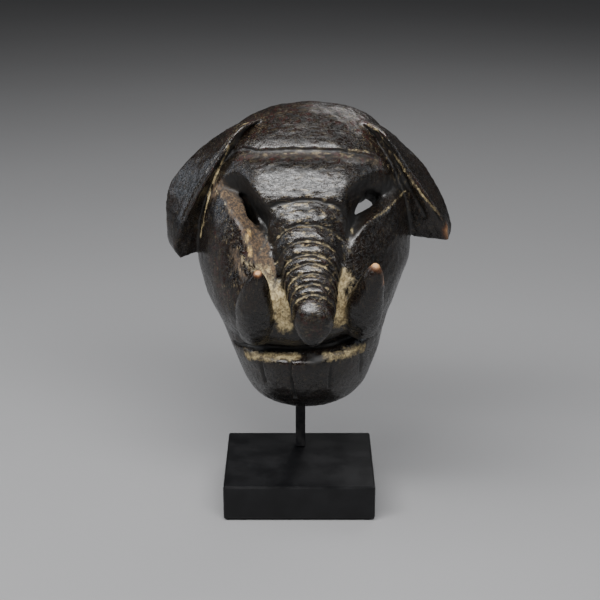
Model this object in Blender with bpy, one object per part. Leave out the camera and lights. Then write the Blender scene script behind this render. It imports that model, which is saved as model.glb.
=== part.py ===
"""Carved wooden elephant face mask on its display stand.

Run it with: blender --background --python part.py, or from Blender's text editor.
Sizes below are in millimetres and are turned into metres as each mesh is made.
The mask faces -Y, +Z is up, and the origin is the middle of the stand's underside.
"""

import math

import bmesh
import bpy
import numpy as np
from mathutils import Matrix, Vector

MM = 0.001  # metres in a millimetre
GAP = 0.3  # clearance between pieces that touch
SMOOTH_BELOW = 35  # edges flatter than this many degrees are shaded smooth

# ---- Driving dimensions of the stand --------------------------------------------------------
BASE_WIDTH, BASE_DEPTH, BASE_TOP = 120.0, 100.0, 30.0
BASE_BEVEL = 1.6
FELT_THICKNESS, FELT_INSET, FELT_HOLE_MARGIN = 1.2, 3.0, 1.0
BASE_SOLE = FELT_THICKNESS + GAP  # height of the block's underside
POST_SIDE = 8.0  # square steel bar
POST_X, POST_Y = 1.0, 26.0
POST_ABOVE_BAR = 7.0  # from the bar's middle to the post's top
STUD_RADIUS, STUD_FOOT, STUD_OVERLAP = 3.0, 6.0, 4.0  # the post's threaded foot, M6
COUNTERBORE_RADIUS, COUNTERBORE_DEPTH = 11.0, 14.0
WASHER_RADIUS, WASHER_THICKNESS = 8.0, 1.6
NUT_ACROSS_FLATS, NUT_HEIGHT = 10.0, 5.0
BAR_RADIUS, BAR_HALF_LENGTH = 2.5, 31.0  # the bar that the crown rests on
BAR_X, BAR_HEIGHT = 8.3, 291.4
SET_SCREW_RADIUS, SET_SCREW_PROUD = 1.5, 0.6
SLEEVE_RADIUS, SLEEVE_LENGTH, SLEEVE_CAP = 5.0, 14.0, 1.5
BUMPER_RADIUS, BUMPER_HEIGHT = 4.5, 86.0  # rubber button that the chin leans on
BUMPER_FRONT, BUMPER_RECESS = 15.3, 2.4
BUMPER_HEAD_RADIUS, BUMPER_HEAD_THICKNESS = 2.3, 1.3  # its screw
BUMPER_SHANK_RADIUS, BUMPER_SHANK_REACH = 1.2, 3.5
STEEL_EDGE, RUBBER_EDGE = 0.5, 0.8  # chamfers
BEYOND = 30.0  # how far a cutter runs past the wall it cuts
LIFT_AXIS = (BAR_X, POST_Y, BAR_HEIGHT)  # the mask lifts off straight up from its bar

# ---- Driving dimensions of the mask ---------------------------------------------------------
SIDE_WALL = 11.0
HEAD_BOTTOM, HEAD_TOP = 80.5, 319.5
HOLLOW_BOTTOM, HOLLOW_TOP = 91.5, 308.5

# Height, left edge and right edge of the head, seen from the front and without its ears.
OUTLINE = (
    (80.5, 2, 11),
    (82, -12, 22),
    (86, -25, 36),
    (93, -36, 47),
    (103, -43, 54),
    (124, -51, 62),
    (150, -62, 69),
    (177, -75, 79),
    (203, -81, 88),
    (228, -81, 89),
    (250, -77, 86),
    (270, -70, 80),
    (290, -58, 70),
    (303, -44, 60),
    (312, -29, 47),
    (317, -14, 32),
    (319.5, 4, 14),
)
# Height and front reach of the head on its middle line, without the trunk.
PROFILE = (
    (80.5, 2),
    (82, -8),
    (86, -19),
    (93, -31),
    (103, -43),
    (115, -52),
    (128, -58),
    (137, -61),
    (140.5, -60),
    (143.5, -54),
    (147, -49),
    (150, -52),
    (155, -60),
    (163, -68),
    (174, -71),
    (190, -68),
    (210, -61),
    (230, -54),
    (250, -47),
    (265, -40),
    (278, -32),
    (286, -26),
    (290, -19.5),
    (296, -16),
    (304, -7),
    (311, 2),
    (316, 11),
    (319.5, 24),
)
# Height and rear edge: the rim that lies against the wearer.
RIM = ((80.5, 11), (90, 15), (125, 16), (160, 27), (200, 38), (300, 40), (319.5, 34))
# Height and front reach of the hollow on its middle line.
HOLLOW = (
    (91.5, 9),
    (94, -6),
    (101, -20),
    (114, -34),
    (132, -38),
    (150, -40),
    (170, -48),
    (195, -46),
    (215, -29),
    (232, -12),
    (250, -5),
    (270, -2),
    (288, 3),
    (299, 9),
    (306, 16),
    (308.5, 25),
)
BOSS = 4.0  # height of the swelling between the brow and the trunk
BOSS_X, BOSS_FLAT, BOSS_WIDE = 7.0, 36.0, 52.0  # middle, half width of its flat and of its foot
BOSS_FOOT, BOSS_CREST = (253, 263), (280, 289)  # heights its lower and upper slopes span
MOUTH_RISE = 0.17  # the mouth climbs this much per millimetre towards +X, up to MOUTH_REACH
MOUTH_REACH, MOUTH_ABOVE, MOUTH_BELOW = 60.0, (190, 160), (90, 125)
BOWL_CURVE = 2.3  # exponent of the head's cross-section: 2 would be an ellipse

# Stations of each eye's V-shaped socket, from its outer end to its inner end: the (x, y, z) of
# the valley, and the (x, z) of the brow edge above it and of the lid edge below it.
SOCKETS = {
    "left": (
        ((-64, -4, 262.5), (-64, 265.5), (-64.5, 260)),
        ((-57, -6, 261.5), (-56, 271), (-59, 256.5)),
        ((-48.5, -8, 259.5), (-46.5, 276), (-52, 249.5)),
        ((-40.5, -12, 255), (-39.5, 274), (-46, 243.5)),
        ((-34, -15, 247), (-31.5, 265.5), (-41.5, 238.5)),
        ((-27, -20, 239), (-24, 257.5), (-37, 232)),
        ((-22, -32, 234), (-18.5, 247), (-33, 223)),
        ((-18, -46, 227), (-15, 237), (-29.5, 214)),
        ((-16, -56, 216), (-13, 224), (-25, 206)),
    ),
    "right": (
        ((81.5, 12, 259), (81.5, 263), (82, 256)),
        ((78, 5, 258.5), (77, 269), (78.5, 253.5)),
        ((71.5, -1, 258), (69, 274.5), (73.5, 252)),
        ((63.5, -7, 255.5), (59, 277), (67.5, 249)),
        ((55, -10, 250.5), (49, 276), (59, 246)),
        ((47.5, -13, 245.5), (39, 271.5), (50.5, 243)),
        ((42, -24, 241), (33.5, 267), (44.5, 238)),
        ((37.5, -42, 235.5), (30, 254), (39.5, 232)),
        ((34, -53, 224), (28, 238), (35, 218)),
    ),
}
# Depths of each eye's slit through the wall, with the (x, z) of its corners at each depth.
SLITS = {
    "left": (
        (-36, ((-41.5, 265), (-37.5, 264), (-30.5, 251), (-23, 238), (-30, 241), (-36.5, 247))),
        (-13, ((-43, 259), (-39, 258), (-34, 245), (-31, 231.5), (-38.5, 235), (-42, 241))),
        (8, ((-63, 257), (-59, 256), (-54, 243), (-51, 229.5), (-58.5, 233), (-62, 239))),
    ),
    "right": (
        (-36, ((40.2, 247), (40.2, 251), (43.7, 258.5), (50, 268), (64, 267.5), (52.5, 255))),
        (-12, ((41.2, 240), (41.2, 243.6), (44.8, 251.3), (51, 261), (65.5, 260), (53.6, 247.3))),
        (12, ((41, 231.5), (41, 236), (44.6, 244), (50.5, 244), (53.5, 241.5), (55.5, 237.5))),
    ),
}

# The trunk's upper surface from its root to its curled tip: x, y, z, half width, half height.
TRUNK = (
    (6, -28, 272, 26, 12),
    (6, -44.2, 260, 29, 19),
    (6.3, -55, 246.4, 25, 20),
    (6.8, -64, 236.8, 22, 20),
    (7.5, -71.3, 228.9, 19.8, 20),
    (8.3, -79, 220.5, 17.6, 18),
    (9.5, -88, 212.4, 15.4, 16),
    (10, -94.5, 206.6, 14.4, 15),
    (10, -101.5, 202, 14.3, 14),
    (10, -107, 191, 15.2, 14),
    (10, -105.5, 179, 13.7, 13),
    (9.5, -99, 169.5, 9.5, 9),
    (9, -93, 166.5, 3.5, 3.5),
)
# Heights of the grooves between the trunk's folds, along its upper surface.
GROOVES = (260, 246.4, 236.8, 228.9, 223.6, 217.9, 212.4, 206.6)
FOLD = 1.9  # how far a fold swells between two grooves
ARCH = 0.42  # how far the folds' sides trail behind their crests

# Stations of each tusk from its root to its tip: x, y, z, half width, half height.
TUSKS = {
    "left": (
        (-31, -50, 160, 13, 10),
        (-32, -62, 173, 14.5, 11),
        (-33, -73, 188, 14, 11),
        (-31.5, -82, 203, 11, 9),
        (-30, -88, 215, 7.5, 6.5),
        (-29, -91.5, 223, 2.5, 2.5),
    ),
    "right": (
        (46, -48, 164, 13, 10),
        (47, -60, 177, 14.5, 11),
        (48.5, -71, 192, 13.5, 11),
        (51, -80, 207, 10.5, 9),
        (53, -86, 219, 7, 6.5),
        (54.5, -89.5, 227.5, 2.5, 2.5),
    ),
}
# Each ear's four long edges from its top to its tip: front root, ridge, outer edge, rear root.
EARS = {
    "left": (
        ((-28, 14, 309), (-30, 12, 310), (-34, 24, 308), (-30, 30, 307)),
        ((-39, 7, 305), (-43, 2, 306), (-51, 24, 302), (-43, 34, 299)),
        ((-50, 7, 289), (-57, -3, 288), (-72, 24, 289), (-56, 34, 285)),
        ((-60, 8, 269), (-70, -4, 267), (-90, 24, 271), (-66, 34, 266)),
        ((-67, 9, 249), (-82, -3, 246), (-102, 24, 253), (-72, 33, 248)),
        ((-71, 10, 229), (-92, -1, 226), (-105, 24, 231), (-76, 32, 230)),
        ((-74, 12, 213), (-97, 3, 210), (-104, 22, 211), (-79, 29, 212)),
        ((-79, 14, 204), (-93, 8, 200), (-97, 20, 200), (-83, 24, 203)),
    ),
    "right": (
        ((44, 14, 308), (47, 12, 309), (51, 24, 307), (46, 30, 306)),
        ((54, 7, 303), (60, 2, 305), (67, 24, 300), (57, 34, 299)),
        ((63, 7, 290), (71, -2, 292), (84, 24, 285), (68, 34, 286)),
        ((70, 8, 272), (81, -3, 276), (97, 24, 271), (76, 34, 268)),
        ((74, 9, 254), (94, -3, 258), (107, 24, 255), (80, 33, 250)),
        ((78, 10, 238), (105, -1, 243), (115, 24, 239), (84, 32, 234)),
        ((81, 12, 224), (113, 4, 227), (120, 22, 222), (88, 29, 220)),
        ((90, 15, 216), (116, 10, 215), (118, 19, 212), (94, 24, 213)),
    ),
}


# ---- Reading the tables ---------------------------------------------------------------------
def smooth_row(rows, at, column=1):
    """Reads a table at a position, along a Hermite curve that never overshoots its rows."""
    keys = np.array([row[0] for row in rows], float)
    values = np.array([row[column] for row in rows], float)
    step = np.diff(keys)
    slope = np.diff(values) / step
    before, after = slope[:-1], slope[1:]
    same = before * after > 0
    total = np.where(same, before + after, 1)
    tangent = np.zeros(len(keys))
    tangent[1:-1] = np.where(same, 2 * before * after / total, 0)
    tangent[0], tangent[-1] = slope[0], slope[-1]
    at = np.clip(np.asarray(at, float), keys[0], keys[-1])
    i = np.clip(np.searchsorted(keys, at, side="right") - 1, 0, len(step) - 1)
    t = (at - keys[i]) / step[i]
    return (
        (1 + 2 * t) * (1 - t) ** 2 * values[i]
        + t * (1 - t) ** 2 * step[i] * tangent[i]
        + t * t * (3 - 2 * t) * values[i + 1]
        + t * t * (t - 1) * step[i] * tangent[i + 1]
    )


def smooth_step(low, high, at):
    """0 below low, 1 above high, and a smooth ramp between them."""
    t = np.clip((at - low) / (high - low), 0, 1)
    return t * t * (3 - 2 * t)


def resample(stations, count):
    """Evenly spaced stations on the smooth path through the given ones."""
    rows = [(i, *station) for i, station in enumerate(stations)]
    at = np.linspace(0, len(stations) - 1, count)
    columns = [smooth_row(rows, at, c + 1) for c in range(len(stations[0]))]
    return [tuple(float(column[i]) for column in columns) for i in range(count)]


# ---- Shape of the head ----------------------------------------------------------------------
def bowl(x, middle, half, front, rim):
    """Depth of a bowl-shaped surface that reaches front in the middle and rim at its sides."""
    across = np.clip(np.abs((x - middle) / half), 0, 1)
    return rim - (rim - front) * (1 - across**BOWL_CURVE) ** 0.5


def head_front(x, z):
    """Depth of the head's front surface at x and z, before its eyes are cut."""
    left, right = smooth_row(OUTLINE, z, 1), smooth_row(OUTLINE, z, 2)
    near_mouth = smooth_step(*MOUTH_ABOVE, z) * smooth_step(*MOUTH_BELOW, z)
    rise = MOUTH_RISE * np.clip(x, 0, MOUTH_REACH) * near_mouth
    front, rim = smooth_row(PROFILE, z - rise), smooth_row(RIM, z)
    boss = smooth_step(BOSS_WIDE, BOSS_FLAT, np.abs(x - BOSS_X))
    boss = boss * smooth_step(*BOSS_FOOT, z) * (1 - smooth_step(*BOSS_CREST, z))
    return bowl(x, (left + right) / 2, (right - left) / 2, front, rim) - BOSS * boss


def head_ring(z, columns):
    """One level loop of the solid head: round the front from left to right, then along the rim."""
    left, right = float(smooth_row(OUTLINE, z, 1)), float(smooth_row(OUTLINE, z, 2))
    x = (left + right) / 2 - (right - left) / 2 * np.cos(np.linspace(0, math.pi, columns))
    rim = float(smooth_row(RIM, z))
    back = np.linspace(right, left, 6)[1:-1]
    return [(px, py, z) for px, py in zip(x, head_front(x, z))] + [(px, rim, z) for px in back]


def hollow_ring(z, columns):
    """One level loop of the hollow, which runs out through the back."""
    outer_z = np.interp(z, (HOLLOW_BOTTOM, HOLLOW_TOP), (HEAD_BOTTOM, HEAD_TOP))
    left, right = float(smooth_row(OUTLINE, outer_z, 1)), float(smooth_row(OUTLINE, outer_z, 2))
    middle, half = (left + right) / 2, (right - left) / 2
    half = half - min(SIDE_WALL, 0.4 * half)
    front, rim = float(smooth_row(HOLLOW, z)), float(smooth_row(RIM, outer_z))
    x = middle - half * np.cos(np.linspace(0, math.pi, columns))
    y = bowl(x, middle, half, front, rim)
    behind = max(rim, POST_Y) + 2 * BEYOND
    return [(px, py, z) for px, py in zip(x, y)] + [(x[-1], behind, z), (x[0], behind, z)]


def levels(low, high, step):
    """Heights of a rounded body's loops, with a few more close to its two poles."""
    even = np.linspace(low, high, round((high - low) / step) + 1)
    return np.unique(np.concatenate([even, [low + 0.8, low + 2.2, high - 2.2, high - 0.8]]))


# ---- Mesh helpers ---------------------------------------------------------------------------
def clear_scene():
    for obj in list(bpy.data.objects):
        bpy.data.objects.remove(obj, do_unlink=True)


def material(name, colour, roughness, metallic=0.0):
    made = bpy.data.materials.new(name)
    made.use_nodes = True
    shader = made.node_tree.nodes["Principled BSDF"]
    shader.inputs["Base Color"].default_value = (*colour, 1)
    shader.inputs["Roughness"].default_value = roughness
    shader.inputs["Metallic"].default_value = metallic
    made.diffuse_color = (*colour, 1)
    return made


def add_mesh(name, bm):
    bmesh.ops.recalc_face_normals(bm, faces=bm.faces)
    mesh = bpy.data.meshes.new(name)
    bm.to_mesh(mesh)
    bm.free()
    obj = bpy.data.objects.new(name, mesh)
    bpy.context.scene.collection.objects.link(obj)
    return obj


def add_form(name, bm):
    """A shape that is only cut from a piece or joined to it."""
    form = add_mesh(name, bm)
    form.hide_render = True
    form.display_type = "WIRE"
    return form


def add_piece(name, bm, surface, origin, parent):
    """A piece of the object, with its own origin, parented to the assembly it belongs to."""
    bmesh.ops.translate(bm, verts=bm.verts, vec=-Vector(origin) * MM)
    piece = add_mesh(name, bm)
    piece.data.materials.append(surface)
    piece.data.shade_smooth()
    piece.data.set_sharp_from_angle(angle=math.radians(SMOOTH_BELOW))
    piece.parent = parent
    piece.location = Vector(origin) * MM - parent.location
    return piece


def add_assembly(name, origin):
    """An empty that the pieces of one assembly hang from."""
    empty = bpy.data.objects.new(name, None)
    empty.location = Vector(origin) * MM
    bpy.context.scene.collection.objects.link(empty)
    return empty


def loft(rings):
    """A closed mesh through rings of equal point count, with a flat face at both ends."""
    bm = bmesh.new()
    loops = [[bm.verts.new(Vector(map(float, point)) * MM) for point in ring] for ring in rings]
    for low, high in zip(loops, loops[1:]):
        for i in range(len(low)):
            j = (i + 1) % len(low)
            bm.faces.new((low[i], low[j], high[j], high[i]))
    for end in (loops[0], loops[-1]):
        bm.faces.new(end)
    return bm


def box(low, high):
    bm = bmesh.new()
    size = [b - a for a, b in zip(low, high)]
    centre = [(a + b) / 2 for a, b in zip(low, high)]
    placed = Matrix.Translation(Vector(centre) * MM) @ Matrix.Diagonal((*(s * MM for s in size), 1))
    bmesh.ops.create_cube(bm, size=1, matrix=placed)
    return bm


def rod(start, end, radius, sides=40):
    """A cylinder from one point to another."""
    start, end = Vector(start) * MM, Vector(end) * MM
    turn = (end - start).to_track_quat("Z", "Y").to_matrix().to_4x4()
    placed = Matrix.Translation((start + end) / 2) @ turn
    bm = bmesh.new()
    bmesh.ops.create_cone(
        bm,
        cap_ends=True,
        segments=sides,
        radius1=radius * MM,
        radius2=radius * MM,
        depth=(end - start).length,
        matrix=placed,
    )
    return bm


def combine(target, other, operation):
    modifier = target.modifiers.new(other.name, "BOOLEAN")
    modifier.operation = operation
    modifier.solver = "EXACT"
    modifier.object = other


def chamfer(target, width, segments=2):
    modifier = target.modifiers.new("worn_edges", "BEVEL")
    modifier.width = width * MM
    modifier.segments = segments
    modifier.limit_method = "ANGLE"


# ---- Forms carved from the mask's block -----------------------------------------------------
def socket_rings(side):
    """Loops of an eye's V-shaped cut: valley, brow edge, lid edge, and straight out in front."""
    flat = [(*valley, *brow, *lid) for valley, brow, lid in SOCKETS[side]]
    rings = []
    for row in resample(flat, 17):
        valley, brow, lid = row[0:3], row[3:5], row[5:7]
        brow_edge = (brow[0], float(head_front(*brow)) - 0.4, brow[1])
        lid_edge = (lid[0], float(head_front(*lid)) - 0.4, lid[1])
        brow_front, lid_front = (brow[0], -90.0, brow[1]), (lid[0], -90.0, lid[1])
        rings.append([valley, brow_edge, brow_front, lid_front, lid_edge])
    return rings


def slit_rings(side):
    return [[(x, y, z) for x, z in corners] for y, corners in SLITS[side]]


def fold_swell(z):
    """1 in the middle of a fold of the trunk, 0 in the grooves on both sides of it."""
    for high, low in zip(GROOVES, GROOVES[1:]):
        if low <= z <= high:
            return max(0.0, math.sin(math.pi * (high - z) / (high - low))) ** 0.5
    return 0.0


def trunk_heights():
    """Heights of the trunk's stations: five to each fold."""
    heights = [270.0, 264.0]
    for high, low in zip(GROOVES, GROOVES[1:]):
        heights += [high + (low - high) * share for share in (0, 0.12, 0.5, 0.88)]
    return heights + [GROOVES[-1]]


def trunk_stations():
    """Stations along the trunk: x, y, z on its upper surface, half width and half height."""
    root = [row for row in TRUNK if row[2] >= GROOVES[-1] - 1]
    rows = [(-row[2], *row) for row in root]
    stations = []
    for z in trunk_heights():
        x, y, _, wide, high = (float(smooth_row(rows, -z, c + 1)) for c in range(5))
        swell = FOLD * fold_swell(z)
        stations.append((x, y, z, wide + swell, high + swell, swell))
    tip = resample(TRUNK[len(root) - 1 :], 14)[1:]
    return stations + [(*row, 0.0) for row in tip]


def trunk_rings(sides):
    """Arched oval loops that hang from the line of the trunk's upper surface."""
    stations = trunk_stations()
    points = [Vector(station[:3]) for station in stations]
    rings = []
    for i, (x, y, z, wide, high, swell) in enumerate(stations):
        ahead = (points[min(i + 1, len(points) - 1)] - points[max(i - 1, 0)]).normalized()
        inward = Vector((1, 0, 0)).cross(ahead).normalized()
        trail = ahead * ARCH * high * float(smooth_step(180, 202, z))
        crest = points[i] - inward * swell
        ring = []
        for k in range(sides):
            turn = 2 * math.pi * k / sides
            drop = 1 - math.cos(turn)
            aside = Vector((1, 0, 0)) * wide * math.sin(turn)
            ring.append(crest + aside + inward * high * drop + trail * drop)
        rings.append(ring)
    return rings


def tusk_rings(side, sides):
    stations = resample(TUSKS[side], 14)
    points = [Vector(station[:3]) for station in stations]
    rings = []
    for i, (point, station) in enumerate(zip(points, stations)):
        ahead = (points[min(i + 1, len(points) - 1)] - points[max(i - 1, 0)]).normalized()
        across = (Vector((1, 0, 0)) - ahead * ahead.x).normalized()
        outward = across.cross(ahead)
        rings.append([
            point
            + across * station[3] * math.cos(2 * math.pi * k / sides)
            + outward * station[4] * math.sin(2 * math.pi * k / sides)
            for k in range(sides)
        ])
    return rings


def ear_rings(side, count):
    """Loops along an ear. Its front root, ridge, outer edge and rear root are the four corners."""
    rows = EARS[side]
    lines = [resample([row[c] for row in rows], count) for c in range(4)]
    rings = []
    for corners in zip(*lines):
        ring = []
        for a, b in zip(corners, corners[1:] + corners[:1]):
            ring += [Vector(a), (Vector(a) * 2 + Vector(b)) / 3, (Vector(a) + Vector(b) * 2) / 3]
        rings.append(ring)
    return rings


def build_mask(wood, mask):
    """Head, trunk, tusks and ears are one block of wood, hollowed from behind."""
    head = [head_ring(z, 46) for z in levels(HEAD_BOTTOM, HEAD_TOP, 4.6)]
    hollow = [hollow_ring(z, 30) for z in levels(HOLLOW_BOTTOM, HOLLOW_TOP, 7)]
    carving = add_piece("mask_carving", loft(head), wood, LIFT_AXIS, mask)
    for side in ("left", "right"):
        combine(carving, add_form(f"socket_form_{side}", loft(socket_rings(side))), "DIFFERENCE")
    combine(carving, add_form("trunk_form", loft(trunk_rings(26))), "UNION")
    for side in ("left", "right"):
        combine(carving, add_form(f"tusk_form_{side}", loft(tusk_rings(side, 18))), "UNION")
        combine(carving, add_form(f"ear_form_{side}", loft(ear_rings(side, 16))), "UNION")
    combine(carving, add_form("hollow_form", loft(hollow)), "DIFFERENCE")
    for side in ("left", "right"):
        combine(carving, add_form(f"slit_form_{side}", loft(slit_rings(side))), "DIFFERENCE")


# ---- The stand ------------------------------------------------------------------------------
def on_post(z):
    """A point on the post's middle line."""
    return (POST_X, POST_Y, z)


def bore(piece, start, end, radius, sides=40):
    """Drills a round hole through a piece."""
    combine(piece, add_form(f"{piece.name}_bore_form", rod(start, end, radius, sides)), "DIFFERENCE")


def build_base(paint, felt, stand):
    half_width, half_depth = BASE_WIDTH / 2, BASE_DEPTH / 2
    shape = box((-half_width, -half_depth, BASE_SOLE), (half_width, half_depth, BASE_TOP))
    block = add_piece("base_block", shape, paint, (0, 0, BASE_SOLE), stand)
    chamfer(block, BASE_BEVEL)
    below, above = on_post(-BEYOND), on_post(BASE_TOP + BEYOND)
    bore(block, below, on_post(BASE_SOLE + COUNTERBORE_DEPTH), COUNTERBORE_RADIUS)
    bore(block, below, above, STUD_RADIUS + GAP)
    wide, deep = half_width - FELT_INSET, half_depth - FELT_INSET
    shape = box((-wide, -deep, 0), (wide, deep, FELT_THICKNESS))
    pad = add_piece("base_felt", shape, felt, (0, 0, 0), stand)
    bore(pad, below, above, COUNTERBORE_RADIUS + FELT_HOLE_MARGIN)


def build_post(steel, stand):
    top, half = BAR_HEIGHT + POST_ABOVE_BAR, POST_SIDE / 2
    low = (POST_X - half, POST_Y - half, BASE_TOP + GAP)
    high = (POST_X + half, POST_Y + half, top)
    post = add_piece("post", box(low, high), steel, on_post(BASE_TOP + GAP), stand)
    chamfer(post, STEEL_EDGE, 1)
    stud = rod(on_post(STUD_FOOT), on_post(BASE_TOP + STUD_OVERLAP), STUD_RADIUS)
    combine(post, add_form("stud_form", stud), "UNION")
    aside = [(POST_X + way * BEYOND, POST_Y, BAR_HEIGHT) for way in (-1, 1)]
    bore(post, *aside, BAR_RADIUS + GAP, 32)
    bore(post, on_post(BAR_HEIGHT), on_post(top + BEYOND), SET_SCREW_RADIUS + GAP, 24)
    in_front = (POST_X, POST_Y - BEYOND, BUMPER_HEIGHT)
    bore(post, in_front, on_post(BUMPER_HEIGHT), BUMPER_SHANK_RADIUS + GAP, 24)


def build_post_fixings(steel, stand):
    """The washer and nut that hold the post, in the hole under the block."""
    ceiling = BASE_SOLE + COUNTERBORE_DEPTH - GAP
    nut_top = ceiling - WASHER_THICKNESS - GAP
    washer = rod(on_post(nut_top + GAP), on_post(ceiling), WASHER_RADIUS)
    washer = add_piece("post_washer", washer, steel, on_post(nut_top + GAP), stand)
    foot = on_post(nut_top - NUT_HEIGHT)
    nut = rod(foot, on_post(nut_top), NUT_ACROSS_FLATS / math.sqrt(3), 6)
    nut = add_piece("post_nut", nut, steel, foot, stand)
    chamfer(nut, STEEL_EDGE, 1)
    for piece in (washer, nut):
        bore(piece, on_post(-BEYOND), on_post(BEYOND), STUD_RADIUS + GAP)


def build_hanger(steel, zinc, rubber, stand):
    """A bar through the post's head, held by a screw, with a rubber sleeve on each end."""
    ends = [(BAR_X + way * BAR_HALF_LENGTH, POST_Y, BAR_HEIGHT) for way in (-1, 1)]
    bar = add_piece("hanger_bar", rod(*ends, BAR_RADIUS, 32), steel, on_post(BAR_HEIGHT), stand)
    chamfer(bar, STEEL_EDGE, 1)
    screw_foot = on_post(BAR_HEIGHT + BAR_RADIUS + GAP)
    screw_top = on_post(BAR_HEIGHT + POST_ABOVE_BAR + SET_SCREW_PROUD)
    screw = rod(screw_foot, screw_top, SET_SCREW_RADIUS, 24)
    add_piece("bar_set_screw", screw, zinc, screw_foot, stand)
    for side, end, inward in (("left", ends[0], 1), ("right", ends[1], -1)):
        outer = (end[0] - inward * SLEEVE_CAP, *end[1:])
        inner = (outer[0] + inward * SLEEVE_LENGTH, *end[1:])
        shape = rod(outer, inner, SLEEVE_RADIUS)
        sleeve = add_piece(f"bar_sleeve_{side}", shape, rubber, outer, stand)
        chamfer(sleeve, RUBBER_EDGE)
        floor, mouth = (end[0] - inward * GAP, *end[1:]), (inner[0] + inward * BEYOND, *end[1:])
        bore(sleeve, floor, mouth, BAR_RADIUS + GAP, 32)


def build_bumper(steel, rubber, stand):
    """A rubber button on the front of the post, with its screw sunk into it."""
    back = POST_Y - POST_SIDE / 2 - GAP
    seat = BUMPER_FRONT + BUMPER_RECESS
    front, rear = (POST_X, BUMPER_FRONT, BUMPER_HEIGHT), (POST_X, back, BUMPER_HEIGHT)
    button = add_piece("chin_bumper", rod(front, rear, BUMPER_RADIUS), rubber, rear, stand)
    chamfer(button, RUBBER_EDGE)
    in_front, behind = (POST_X, back - BEYOND, BUMPER_HEIGHT), (POST_X, back + BEYOND, BUMPER_HEIGHT)
    bore(button, in_front, (POST_X, seat, BUMPER_HEIGHT), BUMPER_HEAD_RADIUS + GAP, 24)
    bore(button, in_front, behind, BUMPER_SHANK_RADIUS + GAP, 24)
    face = (POST_X, seat - GAP - BUMPER_HEAD_THICKNESS, BUMPER_HEIGHT)
    neck = (POST_X, seat - GAP, BUMPER_HEIGHT)
    head = rod(face, neck, BUMPER_HEAD_RADIUS, 24)
    screw = add_piece("bumper_screw", head, steel, neck, stand)
    shank_end = (POST_X, back + GAP + BUMPER_SHANK_REACH, BUMPER_HEIGHT)
    inside_head = (POST_X, neck[1] - BUMPER_HEAD_THICKNESS / 2, BUMPER_HEIGHT)
    shank = rod(inside_head, shank_end, BUMPER_SHANK_RADIUS, 24)
    combine(screw, add_form("bumper_shank_form", shank), "UNION")


def main():
    clear_scene()
    wood = material("carved_wood", (0.045, 0.032, 0.024), 0.45)
    paint = material("black_painted_wood", (0.012, 0.012, 0.013), 0.35)
    steel = material("blackened_steel", (0.02, 0.02, 0.022), 0.5, 0.6)
    zinc = material("zinc_steel", (0.5, 0.5, 0.5), 0.4, 1.0)
    rubber = material("black_rubber", (0.02, 0.02, 0.02), 0.8)
    felt = material("felt", (0.03, 0.03, 0.032), 1.0)
    stand = add_assembly("stand", (0, 0, 0))
    mask = add_assembly("mask", LIFT_AXIS)
    build_mask(wood, mask)
    build_base(paint, felt, stand)
    build_post(steel, stand)
    build_post_fixings(zinc, stand)
    build_hanger(steel, zinc, rubber, stand)
    build_bumper(zinc, rubber, stand)


main()
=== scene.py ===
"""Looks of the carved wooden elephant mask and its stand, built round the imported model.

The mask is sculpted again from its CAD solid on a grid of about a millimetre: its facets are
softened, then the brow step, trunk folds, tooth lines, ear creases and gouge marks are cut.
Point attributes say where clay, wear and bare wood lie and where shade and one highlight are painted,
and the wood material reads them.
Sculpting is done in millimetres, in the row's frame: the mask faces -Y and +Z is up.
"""

import math

import bmesh
import bpy
import numpy as np
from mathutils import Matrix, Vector, bvhtree, kdtree, noise


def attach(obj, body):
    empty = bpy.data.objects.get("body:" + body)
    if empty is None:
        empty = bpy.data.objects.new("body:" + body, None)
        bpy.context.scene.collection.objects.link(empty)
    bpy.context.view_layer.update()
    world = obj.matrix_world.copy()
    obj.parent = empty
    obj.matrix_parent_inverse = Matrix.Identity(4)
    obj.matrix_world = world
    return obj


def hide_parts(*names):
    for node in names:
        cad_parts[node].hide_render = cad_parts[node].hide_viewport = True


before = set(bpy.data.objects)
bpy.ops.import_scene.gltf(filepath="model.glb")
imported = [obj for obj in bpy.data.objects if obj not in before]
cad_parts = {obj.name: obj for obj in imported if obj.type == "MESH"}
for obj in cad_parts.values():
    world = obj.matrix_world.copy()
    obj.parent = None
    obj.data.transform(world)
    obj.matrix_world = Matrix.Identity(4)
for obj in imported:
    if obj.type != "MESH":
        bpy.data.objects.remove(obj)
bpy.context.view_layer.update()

MM = 0.001
VOXEL = 1.0  # size of the sculpting grid
SHARP_ANGLE = math.radians(38)  # CAD edges sharper than this are kept crisp
MOST_TRIANGLES = 195_000  # what the sculpted mesh is thinned to
FACET_ROUNDS, BEND_ROUNDS = 40, 14  # rounds of blur that hide the facets, and that find creases
LEAST_DUST = 0.12  # dust that lies everywhere on the outside

# ---- Lines cut into the mask ----------------------------------------------------------------
# The step between the dome and the brow roll, seen from the front: (x, z).
BROW_STEP = (
    (-62, 272),
    (-57, 280),
    (-50, 287),
    (-41, 291),
    (-28, 291.5),
    (-14, 293.5),
    (8, 294.5),
    (30, 292.5),
    (46, 289),
    (56, 285.5),
    (66, 279),
)
# Lines between the teeth, seen from the front, and how deep each is.
TOOTH_LINES = (
    (((-29, 137), (-28, 128), (-26, 117)), 1.4),
    (((-7, 140), (-6.5, 126), (-3, 105)), 2.1),
    (((24, 141), (24, 128), (23, 115)), 1.4),
    (((47, 141), (48, 132), (47, 120)), 1.1),
)
MOUTH = ((-50, 141), (-42, 144), (-24, 147), (0, 148), (20, 150), (38, 153), (52, 155), (62, 160))
# Where the lower lip is worn away: its middle, its reach each way and how far it goes back.
LIP_GAP, LIP_GAP_REACH, LIP_GAP_DEPTH = (11, -58, 142), (10, 20, 9), 1.5
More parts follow.
